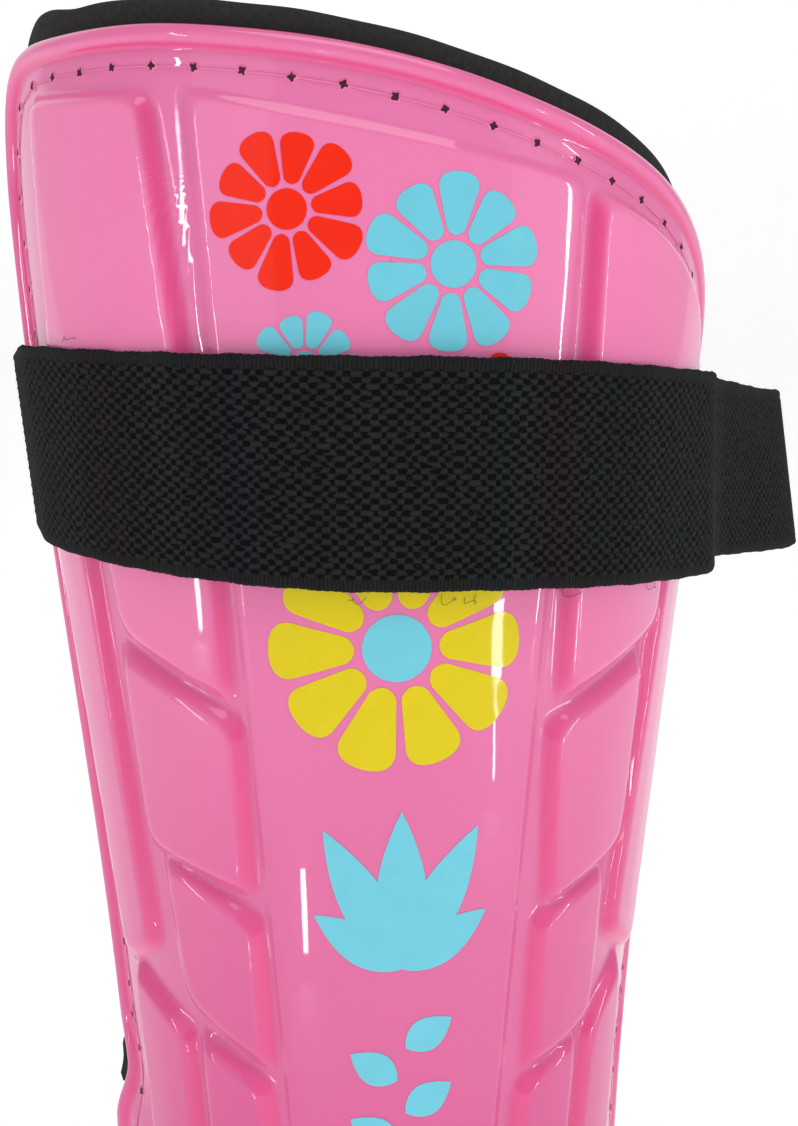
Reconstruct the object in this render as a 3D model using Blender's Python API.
"""Child's soccer shin guard: moulded shell sewn to a foam liner, held by two elastic straps.

Z runs up the shin, +X is the wearer's outer side seen from the front, -Y is the front.
The origin is the middle of the lining's inner face, where the guard rests on the shin.
Lengths are in millimetres until the last step, which writes metres.
"""
import math

import bmesh
import bpy
from mathutils import Vector

MM = 0.001
OBJECT_NAME = "shin_guard"

# Thickness of the layers, front to back, with the air left between them
SHELL_T = 2.0
FOAM_T = 4.5
LINING_T = 0.6
GAP = 0.3
LAYER_STACK = SHELL_T + GAP + FOAM_T + GAP + LINING_T

# The shell is part of a cone whose radius grows from ankle to knee as a cubic of its height
HALF_HEIGHT = 95.0
RADIUS_MID = 43.9
TAPER = 13.0
BELL = 1.3
EASE = 4.8
FLARE = 1.6
HALF_WRAP = math.radians(78)

# Rim: rolled bead, then a flat groove with the stitch holes
BEAD_WIDTH = 2.8
BEAD_HEIGHT = 1.2
HOLE_INSET = 5.2
HOLE_PITCH = 6.4
HOLE_R = 0.8
THREAD_R = 0.25

# Raised areas
PANEL_H = 0.8
PAD_H = 1.8
PAD_SLOPE = 1.6
PAD_ROOT = 1.0

# Elastic straps
STRAP_T = 1.6
UPPER_W = 30.0
LOWER_W = 22.0
HOOK_T = 0.9
LAP_GAP = 0.3
HINGE_GAP = 1.6
LOWER_Z = -55.0

# Outline of the shell in (distance round from the crown, height)
RIM_TOP = [(-72, 75), (-71, 82.5), (-69, 88), (-64.8, 92.4), (-58.4, 94.6), (-48, 95), (-33, 94.8),
           (-19, 93.4), (-6.6, 91.6), (5.6, 89), (16, 86.1), (28.4, 82.2), (41, 77.4), (50.3, 72.6),
           (58.6, 66.6), (65.2, 59.4), (69, 51.5)]
SIDE_LEVELS = [40, 25, 10, -5, -20, -34, -45]
NOTCH = [(1.8, -48.5), (3.0, -53), (1.8, -57.5)]
LOW_SIDE_LEVELS = [-66, -76]
FOOT = [(-45.6, -85.5), (-41, -91.2), (-33, -94.2), (-17, -95), (0, -95), (17, -95), (33, -94.2), (41, -91.2),
        (45.6, -85.5)]

# Pads as (name, corners from upper left, clockwise); all are moulded into the shell
PADS = [
    ("top_left", [(-54.6, 85.6), (-34, 84.4), (-27.5, 42), (-52, 42)]),
    ("top_right", [(30, 71.5), (50, 63.2), (53, 42), (27.5, 42)]),
    ("left_1", [(-43, 38), (-25.5, 37), (-23.9, 11.8), (-38.5, 17.6)]),
    ("left_2", [(-38.3, 11.6), (-22.3, 5), (-21.2, -15), (-34.8, -11.4)]),
    ("left_3", [(-31.5, -16.5), (-19.8, -22), (-18.8, -38.5), (-28.5, -33)]),
    ("left_4", [(-26, -41.5), (-18.9, -45), (-18, -61), (-24.5, -57)]),
    ("left_rib_1", [(-58, 37), (-50.5, 37), (-37.9, -27), (-43, -30)]),
    ("left_rib_2", [(-40.5, -35), (-31, -40), (-29, -68), (-36, -66)]),
    ("right_1", [(26.5, 37), (46, 37), (42.8, 16.8), (25, 10.6)]),
    ("right_2", [(23.3, 3.6), (38.6, 9.4), (35.4, -13.5), (23, -18)]),
    ("right_3", [(21.5, -23), (31, -19.5), (29, -37.5), (20.5, -41)]),
    ("right_4", [(19, -46.5), (26, -43), (24.5, -58), (18, -62)]),
    ("right_rib_1", [(51, 37), (57.5, 37), (42.5, -31), (36.5, -27)]),
    ("right_rib_2", [(31.5, -41.5), (38, -36), (35.2, -66), (28, -68)]),
]
PANEL = [(-25.8, 85.2), (24.6, 75), (10, -85), (-10.2, -85)]


def smooth(t):
    t = min(max(t, 0.0), 1.0)
    return t * t * (3 - 2 * t)


def radius(z):
    """Radius of the shell's front face at height z."""
    t = z / HALF_HEIGHT
    return RADIUS_MID + TAPER * t + BELL * t ** 2 - EASE * t ** 3


def on_shell(s, z, depth=0.0):
    """Point at arc length s and height z, depth behind the shell's front face."""
    r = radius(z)
    angle = s / r
    flare = FLARE * smooth((-math.degrees(angle) - 58) / 18) * smooth((-52 - z) / 9)
    out = r - depth + flare
    return Vector((out * math.sin(angle), r - LAYER_STACK - out * math.cos(angle), z))


def edge_s(z):
    return radius(z) * HALF_WRAP


def spline(points, steps, closed):
    """Catmull-Rom curve through the points."""
    count = len(points)
    spans = count if closed else count - 1
    out = []
    for i in range(spans):
        if closed:
            a, b, c, d = (points[(i + k) % count] for k in (-1, 0, 1, 2))
        else:
            a, b, c, d = (points[min(max(i + k, 0), count - 1)] for k in (-1, 0, 1, 2))
        for k in range(steps):
            t = k / steps
            out.append(tuple(0.5 * (2 * q + (r - p) * t + (2 * p - 5 * q + 4 * r - w) * t * t
                                    + (3 * q - p - 3 * r + w) * t ** 3)
                             for p, q, r, w in zip(a, b, c, d)))
    if not closed:
        out.append(tuple(points[-1]))
    return out


def even(points, count, closed):
    """Resample a curve to equal steps."""
    pts = [Vector(p) for p in points]
    if closed:
        pts.append(pts[0].copy())
    run = [0.0]
    for a, b in zip(pts, pts[1:]):
        run.append(run[-1] + (b - a).length)
    total = run[-1]
    out = []
    j = 0
    stations = count if closed else count - 1
    for i in range(count):
        want = total * i / stations
        while j < len(run) - 2 and run[j + 1] < want:
            j += 1
        span = max(run[j + 1] - run[j], 1e-9)
        out.append(pts[j].lerp(pts[j + 1], (want - run[j]) / span))
    return out, total


def shell_outline(with_notch):
    """Control points clockwise from the upper left corner."""
    pts = list(RIM_TOP)
    right = [(edge_s(z), z) for z in SIDE_LEVELS]
    if with_notch:
        right += [(edge_s(z) - cut, z) for cut, z in NOTCH]
    else:
        right += [(edge_s(-55), -55)]
    right += [(edge_s(z), z) for z in LOW_SIDE_LEVELS]
    left = [(-s, z) for s, z in reversed(right)]
    left += [(-edge_s(z), z) for z in (55, 65)]
    return pts + right + list(reversed(FOOT)) + left


def inset(ring, amounts):
    """Move a closed (s, z) ring inward; the ring runs clockwise."""
    count = len(ring)
    out = []
    for i, p in enumerate(ring):
        tangent = (ring[(i + 1) % count] - ring[i - 1]).normalized()
        out.append(p + Vector((tangent.y, -tangent.x)) * amounts[i])
    return out


def shrink(ring, k):
    """Ring scaled towards the crown line, for the inside of the sheet."""
    return [Vector((p.x * k, p.y * (0.25 * k + 0.75) if k > 0.05 else p.y * 0.76)) for p in ring]


def new_object(name, verts, faces, collection, color):
    mesh = bpy.data.meshes.new(name)
    mesh.from_pydata([Vector(v) * MM for v in verts], [], faces)
    bm = bmesh.new()
    bm.from_mesh(mesh)
    bmesh.ops.remove_doubles(bm, verts=bm.verts, dist=0.00001)
    bmesh.ops.recalc_face_normals(bm, faces=bm.faces)
    bmesh.ops.triangulate(bm, faces=bm.faces)
    bm.to_mesh(mesh)
    bm.free()
    obj = bpy.data.objects.new(name, mesh)
    collection.objects.link(obj)
    if color:
        material = bpy.data.materials.new(name)
        material.use_nodes = True
        shader = material.node_tree.nodes["Principled BSDF"]
        shader.inputs["Base Color"].default_value = (*color, 1.0)
        shader.inputs["Roughness"].default_value = 0.3 if name == "shell" else 0.85
        material.diffuse_color = (*color, 1.0)
        mesh.materials.append(material)
    return obj


def curved_plate(name, rings, depths_front, depth_back, collection, color):
    """Closed sheet between a front and a back face. Rings run from the edge to the crown line."""
    count = len(rings[0])
    verts = []
    for ring, depth in zip(rings, depths_front):
        verts += [on_shell(p.x, p.y, depth) for p in ring]
    for ring in rings:
        verts += [on_shell(p.x, p.y, depth_back) for p in ring]
    faces = []
    layers = len(rings)
    back = layers * count
    for j in range(layers - 1):
        for i in range(count):
            n = (i + 1) % count
            a, b, c, d = j * count + i, j * count + n, (j + 1) * count + n, (j + 1) * count + i
            faces.append((a, b, c, d))
            faces.append((back + d, back + c, back + b, back + a))
    for i in range(count):
        n = (i + 1) % count
        faces.append((n, i, back + i, back + n))
    # The innermost ring is a slit; its two sides are joined straight across
    last = (layers - 1) * count
    order = ladder(rings[-1])
    for quad in order:
        faces.append(tuple(last + k for k in quad))
        faces.append(tuple(back + last + k for k in reversed(quad)))
    return new_object(name, verts, faces, collection, color)


def ladder(ring):
    """Faces that close a tall narrow ring, walking down both sides from its top."""
    count = len(ring)
    top = max(range(count), key=lambda i: ring[i].y)
    a, b = top, top
    faces = []
    steps = 0
    while steps < count - 2:
        na, nb = (a - 1) % count, (b + 1) % count
        if na == nb:
            faces.append((a, b, nb) if a != b else ())
            break
        if a == b:
            faces.append((a, nb, na))
            a, b = na, nb
            steps += 1
            continue
        if ring[na].y >= ring[nb].y:
            faces.append((a, b, na))
            a = na
        else:
            faces.append((a, b, nb))
            b = nb
        steps += 1
    return [f for f in faces if f]


def block(corners, height, slope, across, along):
    """Raised pad over a four-sided patch, buried in the shell so that it can be merged."""
    tl, tr, br, bl = (Vector(c) for c in corners)
    centre = (tl + tr + br + bl) / 4

    def patch(u, v, grow):
        p = tl.lerp(tr, u).lerp(bl.lerp(br, u), v)
        away = p - centre
        length = max(away.length, 1e-6)
        return p + away * (grow / length) * min(1.0, length / 3)

    verts, faces = [], []
    for grow, depth in ((0.0, -height), (slope, PAD_ROOT)):
        for j in range(along + 1):
            for i in range(across + 1):
                p = patch(i / across, j / along, grow)
                verts.append(on_shell(p.x, p.y, depth))
    size = (across + 1) * (along + 1)

    def at(i, j, layer):
        return layer * size + j * (across + 1) + i

    for j in range(along):
        for i in range(across):
            faces.append((at(i, j, 0), at(i + 1, j, 0), at(i + 1, j + 1, 0), at(i, j + 1, 0)))
            faces.append((at(i, j + 1, 1), at(i + 1, j + 1, 1), at(i + 1, j, 1), at(i, j, 1)))
    for i in range(across):
        faces.append((at(i + 1, 0, 0), at(i, 0, 0), at(i, 0, 1), at(i + 1, 0, 1)))
        faces.append((at(i, along, 0), at(i + 1, along, 0), at(i + 1, along, 1), at(i, along, 1)))
    for j in range(along):
        faces.append((at(0, j, 0), at(0, j + 1, 0), at(0, j + 1, 1), at(0, j, 1)))
        faces.append((at(across, j + 1, 0), at(across, j, 0), at(across, j, 1), at(across, j + 1, 1)))
    return verts, faces


def joined(name, pieces, collection):
    verts, faces = [], []
    for piece_verts, piece_faces in pieces:
        base = len(verts)
        verts += piece_verts
        faces += [tuple(base + k for k in face) for face in piece_faces]
    obj = new_object(name, verts, faces, collection, None)
    obj.hide_render = True
    obj.display_type = "WIRE"
    return obj


def boolean(target, tool, operation):
    modifier = target.modifiers.new(tool.name, "BOOLEAN")
    modifier.operation = operation
    modifier.solver = "EXACT"
    modifier.object = tool


def peg(s, z, r, depth_top, depth_low, sides):
    """Short prism along the shell's normal."""
    top, low = on_shell(s, z, depth_top), on_shell(s, z, depth_low)
    axis = (low - top).normalized()
    side = axis.cross(Vector((0, 0, 1))).normalized()
    other = axis.cross(side)
    verts = []
    for end in (top, low):
        for k in range(sides):
            a = 2 * math.pi * k / sides
            verts.append(end + side * (r * math.cos(a)) + other * (r * math.sin(a)))
    faces = [tuple(range(sides)), tuple(reversed(range(sides, 2 * sides)))]
    faces += [(k, sides + k, sides + (k + 1) % sides, (k + 1) % sides) for k in range(sides)]
    return verts, faces


def tube_loop(name, path, r, sides, collection, color):
    """Closed cord round a closed path, with its section turned by the path's own direction."""
    count = len(path)
    verts, faces = [], []
    for i, p in enumerate(path):
        tangent = (path[(i + 1) % count] - path[i - 1]).normalized()
        outward = Vector((p.x, p.y - radius(p.z) + LAYER_STACK, 0)).normalized()
        side = tangent.cross(outward).normalized()
        other = side.cross(tangent)
        for k in range(sides):
            a = 2 * math.pi * k / sides
            verts.append(p + side * (r * math.cos(a)) + other * (r * math.sin(a)))
    for i in range(count):
        n = (i + 1) % count
        for k in range(sides):
            m = (k + 1) % sides
            faces.append((i * sides + k, i * sides + m, n * sides + m, n * sides + k))
    return new_object(name, verts, faces, collection, color)


def strip(name, stations, thickness, collection, color):
    """Flat band through stations of (middle, width direction, half width)."""
    count = len(stations)
    half, corner = thickness / 2, thickness * 0.3
    verts, faces = [], []
    for i, (middle, up, half_width) in enumerate(stations):
        before = stations[max(i - 1, 0)][0]
        after = stations[min(i + 1, count - 1)][0]
        across = (after - before).cross(up).normalized()
        for a, b in ((half, half_width - corner), (half - corner, half_width), (corner - half, half_width),
                     (-half, half_width - corner), (-half, corner - half_width), (corner - half, -half_width),
                     (half - corner, -half_width), (half, corner - half_width)):
            verts.append(middle + across * a + up * b)
    for i in range(count - 1):
        for k in range(8):
            m = (k + 1) % 8
            faces.append((i * 8 + k, i * 8 + m, i * 8 + 8 + m, i * 8 + 8 + k))
    faces.append(tuple(range(8)))
    faces.append(tuple(reversed(range((count - 1) * 8, count * 8))))
    return new_object(name, verts, faces, collection, color)


for old in list(bpy.data.objects):
    bpy.data.objects.remove(old, do_unlink=True)

parts = bpy.data.collections.new(OBJECT_NAME)
cutters = bpy.data.collections.new("cutters")
bpy.context.scene.collection.children.link(parts)
bpy.context.scene.collection.children.link(cutters)

PINK = (0.80, 0.16, 0.42)
BLACK = (0.015, 0.015, 0.017)
DARK = (0.04, 0.04, 0.045)

# ---- Shell, foam and lining -------------------------------------------------------------------
SHELL_STEPS = 88
LINER_STEPS = 72
outer, _ = even(spline(shell_outline(True), 8, True), SHELL_STEPS, True)
rings, depths = [outer], [-0.2]
for step, rise in ((0.45, 0.95), (1.4, BEAD_HEIGHT), (2.35, 0.8), (BEAD_WIDTH, 0.0), (HOLE_INSET + 1.8, 0.0)):
    rings.append(inset(outer, [step] * SHELL_STEPS))
    depths.append(-rise)
for k in (0.86, 0.71, 0.56, 0.41, 0.26, 0.11):
    rings.append(shrink(rings[5], k))
    depths.append(0.0)
shell = curved_plate("shell", rings, depths, SHELL_T, parts, PINK)

pad_pieces = [block(corners, PAD_H, PAD_SLOPE, 3, 5) for _, corners in PADS]
panel_piece = block(PANEL, PANEL_H, 1.2, 5, 14)
pads = joined("moulded_pads", pad_pieces, cutters)
panel = joined("centre_panel", [panel_piece], cutters)
boolean(shell, panel, "UNION")
boolean(shell, pads, "UNION")

hole_ring = inset(outer, [HOLE_INSET] * SHELL_STEPS)
_, groove_length = even(hole_ring, 10, True)
hole_count = round(groove_length / HOLE_PITCH)
holes, _ = even(hole_ring, hole_count, True)
pegs = [peg(p.x, p.y, HOLE_R, -2.0, SHELL_T + 1.0, 5) for p in holes]
drill = joined("stitch_holes", pegs, cutters)
boolean(shell, drill, "DIFFERENCE")

plain, _ = even(spline(shell_outline(False), 8, True), LINER_STEPS, True)
grow = [-(0.8 + 3.2 * smooth((p.y - 45) / 35)) for p in plain]
liner_outline = inset(plain, grow)
foam_front = SHELL_T + GAP
foam_back = foam_front + FOAM_T
foam_rings = [liner_outline, inset(liner_outline, [0.5] * LINER_STEPS)]
foam_rings += [shrink(foam_rings[1], k) for k in (0.86, 0.71, 0.56, 0.41, 0.26, 0.11)]
foam_depths = [foam_front + 0.6] + [foam_front] * 7
foam = curved_plate("foam_liner", foam_rings, foam_depths, foam_back, parts, DARK)

lining_rings = [inset(liner_outline, [0.8] * LINER_STEPS)]
lining_rings += [shrink(lining_rings[0], k) for k in (0.86, 0.71, 0.56, 0.41, 0.26, 0.11)]
lining_front = foam_back + GAP
lining = curved_plate("lining", lining_rings, [lining_front] * 7, LAYER_STACK, parts, BLACK)

# ---- Stitching round the rim ------------------------------------------------------------------
path = []
for i, p in enumerate(holes):
    q = holes[(i + 1) % hole_count]
    path.append(on_shell(p.x, p.y, SHELL_T - 0.5))
    for t in (0.055, 0.945):
        m = p.lerp(q, t)
        path.append(on_shell(m.x, m.y, -THREAD_R - 0.15))
rim_thread = tube_loop("rim_thread", path, THREAD_R, 4, parts, (0.9, 0.45, 0.65))

back_path = []
for i, p in enumerate(holes):
    q = holes[(i + 1) % hole_count]
    back_path.append(on_shell(p.x, p.y, LAYER_STACK + THREAD_R + 0.4))
    m = p.lerp(q, 0.5)
    back_path.append(on_shell(m.x, m.y, LAYER_STACK + THREAD_R + 0.55))
back_thread = tube_loop("back_thread", back_path, THREAD_R, 4, parts, BLACK)

# ---- Straps -----------------------------------------------------------------------------------
STRAP_LIFT = PAD_H + GAP + STRAP_T / 2
EDGE_DROP = 0.6
THREAD_ROOM = 1.7
INSIDE_DEPTH = LAYER_STACK + THREAD_ROOM + STRAP_T / 2


def lean(angle, z):
    """Direction up the cone at an angle round it."""
    slope = (radius(z + 5) - radius(z - 5)) / 10
    return Vector((slope * math.sin(angle), slope * (1 - math.cos(angle)), 1)).normalized()


def ring_point(angle, z, lift):
    """Point at an angle round the cone; lift is outward from the shell's front face."""
    r = radius(z)
    return Vector(((r + lift) * math.sin(angle), r - LAYER_STACK - (r + lift) * math.cos(angle), z))


def plan_run(points, count):
    """Even stations along a smooth line of (x, y, z) points."""
    run, _ = even(spline(points, 10, False), count, False)
    return run


def band_lift(angle):
    """The band clears the raised pads, and comes down to the rim's bead at the side edges."""
    return STRAP_LIFT - EDGE_DROP * smooth((abs(math.degrees(angle)) - 69.5) / 7.5)


def band_z(angle):
    """The band runs a little downhill from the left edge to the right one."""
    return UPPER_Z + 1.9 * max(0.0, -math.sin(angle)) ** 1.5 - 3.6 * max(0.0, math.sin(angle)) ** 2


def wrapped_end(side, z, lift, turn_reach, inner_from, steps):
    """Round the shell's side edge from the lining to the front face."""
    out = []
    edge = side * (HALF_WRAP + turn_reach)
    mid_lift = (lift - INSIDE_DEPTH) / 2
    bow = (lift + INSIDE_DEPTH) / 2
    for k in range(steps):
        out.append((side * (inner_from + (HALF_WRAP + turn_reach - inner_from) * k / steps), -INSIDE_DEPTH))
    for k in range(steps + 1):
        a = math.pi * k / steps
        out.append((edge + side * bow * math.sin(a) / radius(z) * 0.5, mid_lift - bow * math.cos(a)))
    return out


# Upper strap: sewn inside the left edge, round it, across the front and off the right edge
UPPER_Z = 38.9
BEND = Vector((60.5, 55.5, 33.3))
turns = wrapped_end(-1, UPPER_Z, STRAP_LIFT - EDGE_DROP, math.radians(0.8), math.radians(56), 7)
stations = []
for angle, lift in turns:
    stations.append((ring_point(angle, band_z(angle), lift), lean(angle, UPPER_Z), UPPER_W / 2))
for k in range(1, 31):
    angle = -HALF_WRAP + 2 * HALF_WRAP * k / 30
    z = band_z(angle)
    stations.append((ring_point(angle, z, band_lift(angle)), lean(angle, z), UPPER_W / 2))
off_edge = stations[-1][0]
leave = plan_run([stations[-3][0], off_edge, Vector((51.4, 38.5, 35)), Vector((55.4, 47.2, 34.2)), BEND], 16)
leave = [p for p in leave if p.y > off_edge.y + 1]
for p in leave[:-1]:
    t = (p - off_edge).length / (BEND - off_edge).length
    stations.append((p, lean(HALF_WRAP, UPPER_Z).lerp(Vector((0, 0, 1)), smooth(t)).normalized(), UPPER_W / 2))
ahead = (BEND - leave[-2]).normalized()
stations.append((BEND - ahead * (HINGE_GAP / 2), Vector((0, 0, 1)), UPPER_W / 2))
upper_band = strip("upper_band", stations, STRAP_T, parts, BLACK)

# The free part of the upper strap goes round behind the leg to the left
lap_offset = STRAP_T + HOOK_T + 2 * LAP_GAP
upper_run = plan_run([BEND, (69, 67.5, 32), (77.5, 79, 30.8), (82.8, 88.5, 30.2), (84, 98.5, 30), (79.5, 109.5, 30),
                      (66, 119.5, 30.4), (44, 124, 31.2), (16, 121, 32.6), (-11, 112.5, 34), (-31.5, 99, 35.4),
                      (-43, 84, 36.4), (-47.2, 68, 37)], 46)


def upright(run, width, first=0.0, last=0.0, start_lean=Vector((0, 0, 1))):
    out = []
    for i, p in enumerate(run):
        q = Vector(p)
        up = start_lean.lerp(Vector((0, 0, 1)), smooth(i / 5)).normalized()
        if i == 0:
            q += (Vector(run[1]) - q).normalized() * first
        if i == len(run) - 1:
            q -= (q - Vector(run[-2])).normalized() * last
        out.append((q, up, width / 2))
    return out


upper_loop = strip("upper_loop", upright(upper_run, UPPER_W, HINGE_GAP / 2), STRAP_T, parts, BLACK)


def beside(run, distance):
    """The same run moved sideways in plan, to the left of its direction."""
    out = []
    for i, p in enumerate(run):
        a, b = Vector(run[max(i - 1, 0)]), Vector(run[min(i + 1, len(run) - 1)])
        d = (b - a).normalized()
        out.append(Vector(p) + Vector((-d.y, d.x, 0)).normalized() * distance)
    return out


def lapped(run, hook_stations, lap_stations, name, width, root):
    """Hook patch on the end of a run, and the short tab that it grips."""
    hook_run = beside(run, STRAP_T / 2 + LAP_GAP + HOOK_T / 2)[-hook_stations:]
    hook = [(p, Vector((0, 0, 1)), width / 2 - 1.5) for p in hook_run[:-1]]
    strip(name + "_hook_patch", hook, HOOK_T, parts, DARK)
    tab_run = list(reversed(beside(run, lap_offset)[-lap_stations:]))
    lead = [root.lerp(tab_run[0], t) for t in (0, 0.25, 0.5, 0.75)]
    tab_run = plan_run(lead + tab_run, len(tab_run) + 7)
    return tab_run


TAB_DEPTH = INSIDE_DEPTH + STRAP_T + GAP
TAB_ANGLE = HALF_WRAP + math.radians(4)
TAB_ROOT_U = ring_point(-TAB_ANGLE, 37.6, -TAB_DEPTH)
tab_u = lapped(upper_run, 7, 7, "upper", UPPER_W, TAB_ROOT_U)
upper_tab = strip("upper_tab", upright(tab_u, UPPER_W, HINGE_GAP / 2, 0, lean(-TAB_ANGLE, 37.6)), STRAP_T, parts,
                  BLACK)

# Patches sewn inside the liner hold the ends of the straps
def inside_patch(name, s_from, s_to, z, width, depth, thickness, color):
    run = []
    count = 12
    for k in range(count + 1):
        s = s_from + (s_to - s_from) * k / count
        angle = s / radius(z)
        run.append((ring_point(angle, z, -depth), lean(angle, z), width / 2))
    return strip(name, run, thickness, parts, color)


root_end = TAB_ANGLE * radius(37.6) - HINGE_GAP * 0.75
upper_tab_root = inside_patch("upper_tab_root", -46.0, -root_end, 37.6, UPPER_W, TAB_DEPTH, STRAP_T, BLACK)

# Lower strap: sewn behind the lining from edge to edge, free beyond both edges
LOW_ROOT_ANGLE = math.radians(86)
LOWER_BEND = Vector((27.6, 46, LOWER_Z))
TAB_ROOT_L = ring_point(-LOW_ROOT_ANGLE, LOWER_Z, -INSIDE_DEPTH)
stations = []
for k in range(13):
    angle = -LOW_ROOT_ANGLE + HINGE_GAP / radius(LOWER_Z) + k / 12 * (2 * LOW_ROOT_ANGLE - 0.08)
    stations.append((ring_point(angle, LOWER_Z, -INSIDE_DEPTH), lean(angle, LOWER_Z), LOWER_W / 2))
leave = plan_run([stations[-2][0], stations[-1][0], Vector((27.6, 37, LOWER_Z)), LOWER_BEND], 12)
leave = [p for p in leave if p.y > stations[-1][0].y + 1]
for p in leave[:-1]:
    t = (p - stations[12][0]).length / (LOWER_BEND - stations[12][0]).length
    up = stations[12][1].lerp(Vector((0, 0, 1)), smooth(t)).normalized()
    stations.append((p, up, LOWER_W / 2))
stations.append((LOWER_BEND - (LOWER_BEND - leave[-2]).normalized() * (HINGE_GAP / 2), Vector((0, 0, 1)), LOWER_W / 2))
lower_base = strip("lower_base", stations, STRAP_T, parts, BLACK)
lower_run = plan_run([LOWER_BEND, (27.6, 55, LOWER_Z), (24, 66, LOWER_Z), (14.5, 74, LOWER_Z), (1, 77, LOWER_Z),
                      (-13, 74, LOWER_Z), (-23.5, 65, LOWER_Z), (-28.6, 54, LOWER_Z), (-30.2, 42, LOWER_Z)], 30)
lower_loop = strip("lower_loop", upright(lower_run, LOWER_W, HINGE_GAP / 2), STRAP_T, parts, BLACK)
tab_l = lapped(lower_run, 7, 7, "lower", LOWER_W, TAB_ROOT_L)
lower_tab = strip("lower_tab", upright(tab_l, LOWER_W, HINGE_GAP / 2), STRAP_T, parts, BLACK)

# ---- Joint axes, for whoever poses the part ---------------------------------------------------
for name, place, moving in (("upper_loop_axis", BEND, ("upper_loop", "upper_hook_patch")),
                            ("upper_tab_axis", TAB_ROOT_U, ("upper_tab",)),
                            ("lower_loop_axis", LOWER_BEND, ("lower_loop", "lower_hook_patch")),
                            ("lower_tab_axis", TAB_ROOT_L, ("lower_tab",))):
    axis = bpy.data.objects.new(name, None)
    axis.empty_display_size = 0.01
    axis.location = place * MM
    parts.objects.link(axis)
    for child in moving:
        obj = bpy.data.objects[child]
        obj.parent = axis
        obj.matrix_parent_inverse.translation = -(place * MM)
    print(name, [round(v, 4) for v in place * MM])
